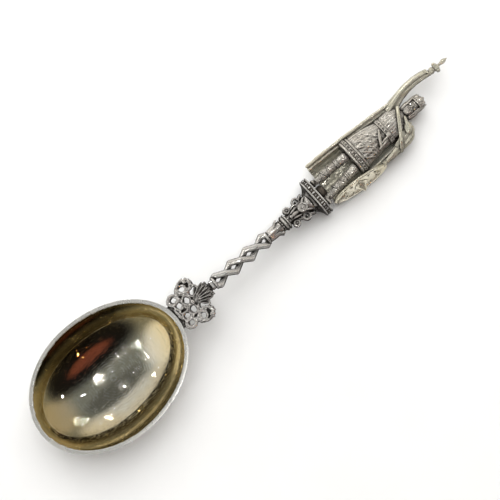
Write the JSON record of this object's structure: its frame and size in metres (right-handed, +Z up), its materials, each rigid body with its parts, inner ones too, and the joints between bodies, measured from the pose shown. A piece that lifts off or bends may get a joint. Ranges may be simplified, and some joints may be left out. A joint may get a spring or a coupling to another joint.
{
  "type": "souvenir spoon",
  "caption": "Silver souvenir spoon with an egg-shaped gilt bowl, a pierced cartouche, an open twisted stem, a scrolled console and a standing crowned warrior with raised sword and shield.",
  "frame": {"origin": "middle of the spoon's length and width, on the surface that it lies on", "axes": "+X across the spoon, to the figure's shield side; +Y along it from the bowl's tip to the tip of the sword; +Z up, out of the bowl's mouth, with the spoon lying on its back"},
  "size_m": [0.0458, 0.193, 0.0163],
  "materials": {
    "gilt_bowl": "polished silver with a pale gilt inside and a bare silver rim and back",
    "polished_silver": "polished silver with dark recesses",
    "oxidised_silver": "cast silver, oxidised black in the recesses and rubbed bright on top",
    "warm_silver": "cast silver with a faint warm tarnish"
  },
  "bodies": {
    "root": {"bowl": "gilt_bowl", "heel_plate": "polished_silver", "cartouche": "polished_silver", "palmette": "polished_silver", "lower_collar": "polished_silver", "twisted_stem": "polished_silver", "leaf_calyx": "polished_silver", "bead_ring": "polished_silver", "upper_collar": "polished_silver", "console": "polished_silver", "console_volutes": "polished_silver", "console_medallion": "polished_silver", "plinth": "polished_silver", "plinth_band": "oxidised_silver", "ground_mound": "oxidised_silver", "right_leg": "oxidised_silver", "left_leg": "oxidised_silver", "tunic": "oxidised_silver", "hem_band": "oxidised_silver", "belt": "oxidised_silver", "mantle": "warm_silver", "mantle_border": "warm_silver", "head": "oxidised_silver", "crown": "oxidised_silver", "right_arm": "warm_silver", "sword": "warm_silver", "left_arm": "warm_silver", "shield": "warm_silver", "shield_boss": "warm_silver", "shield_rivets": "warm_silver", "cloak": "warm_silver"}
  },
  "joints": []
}
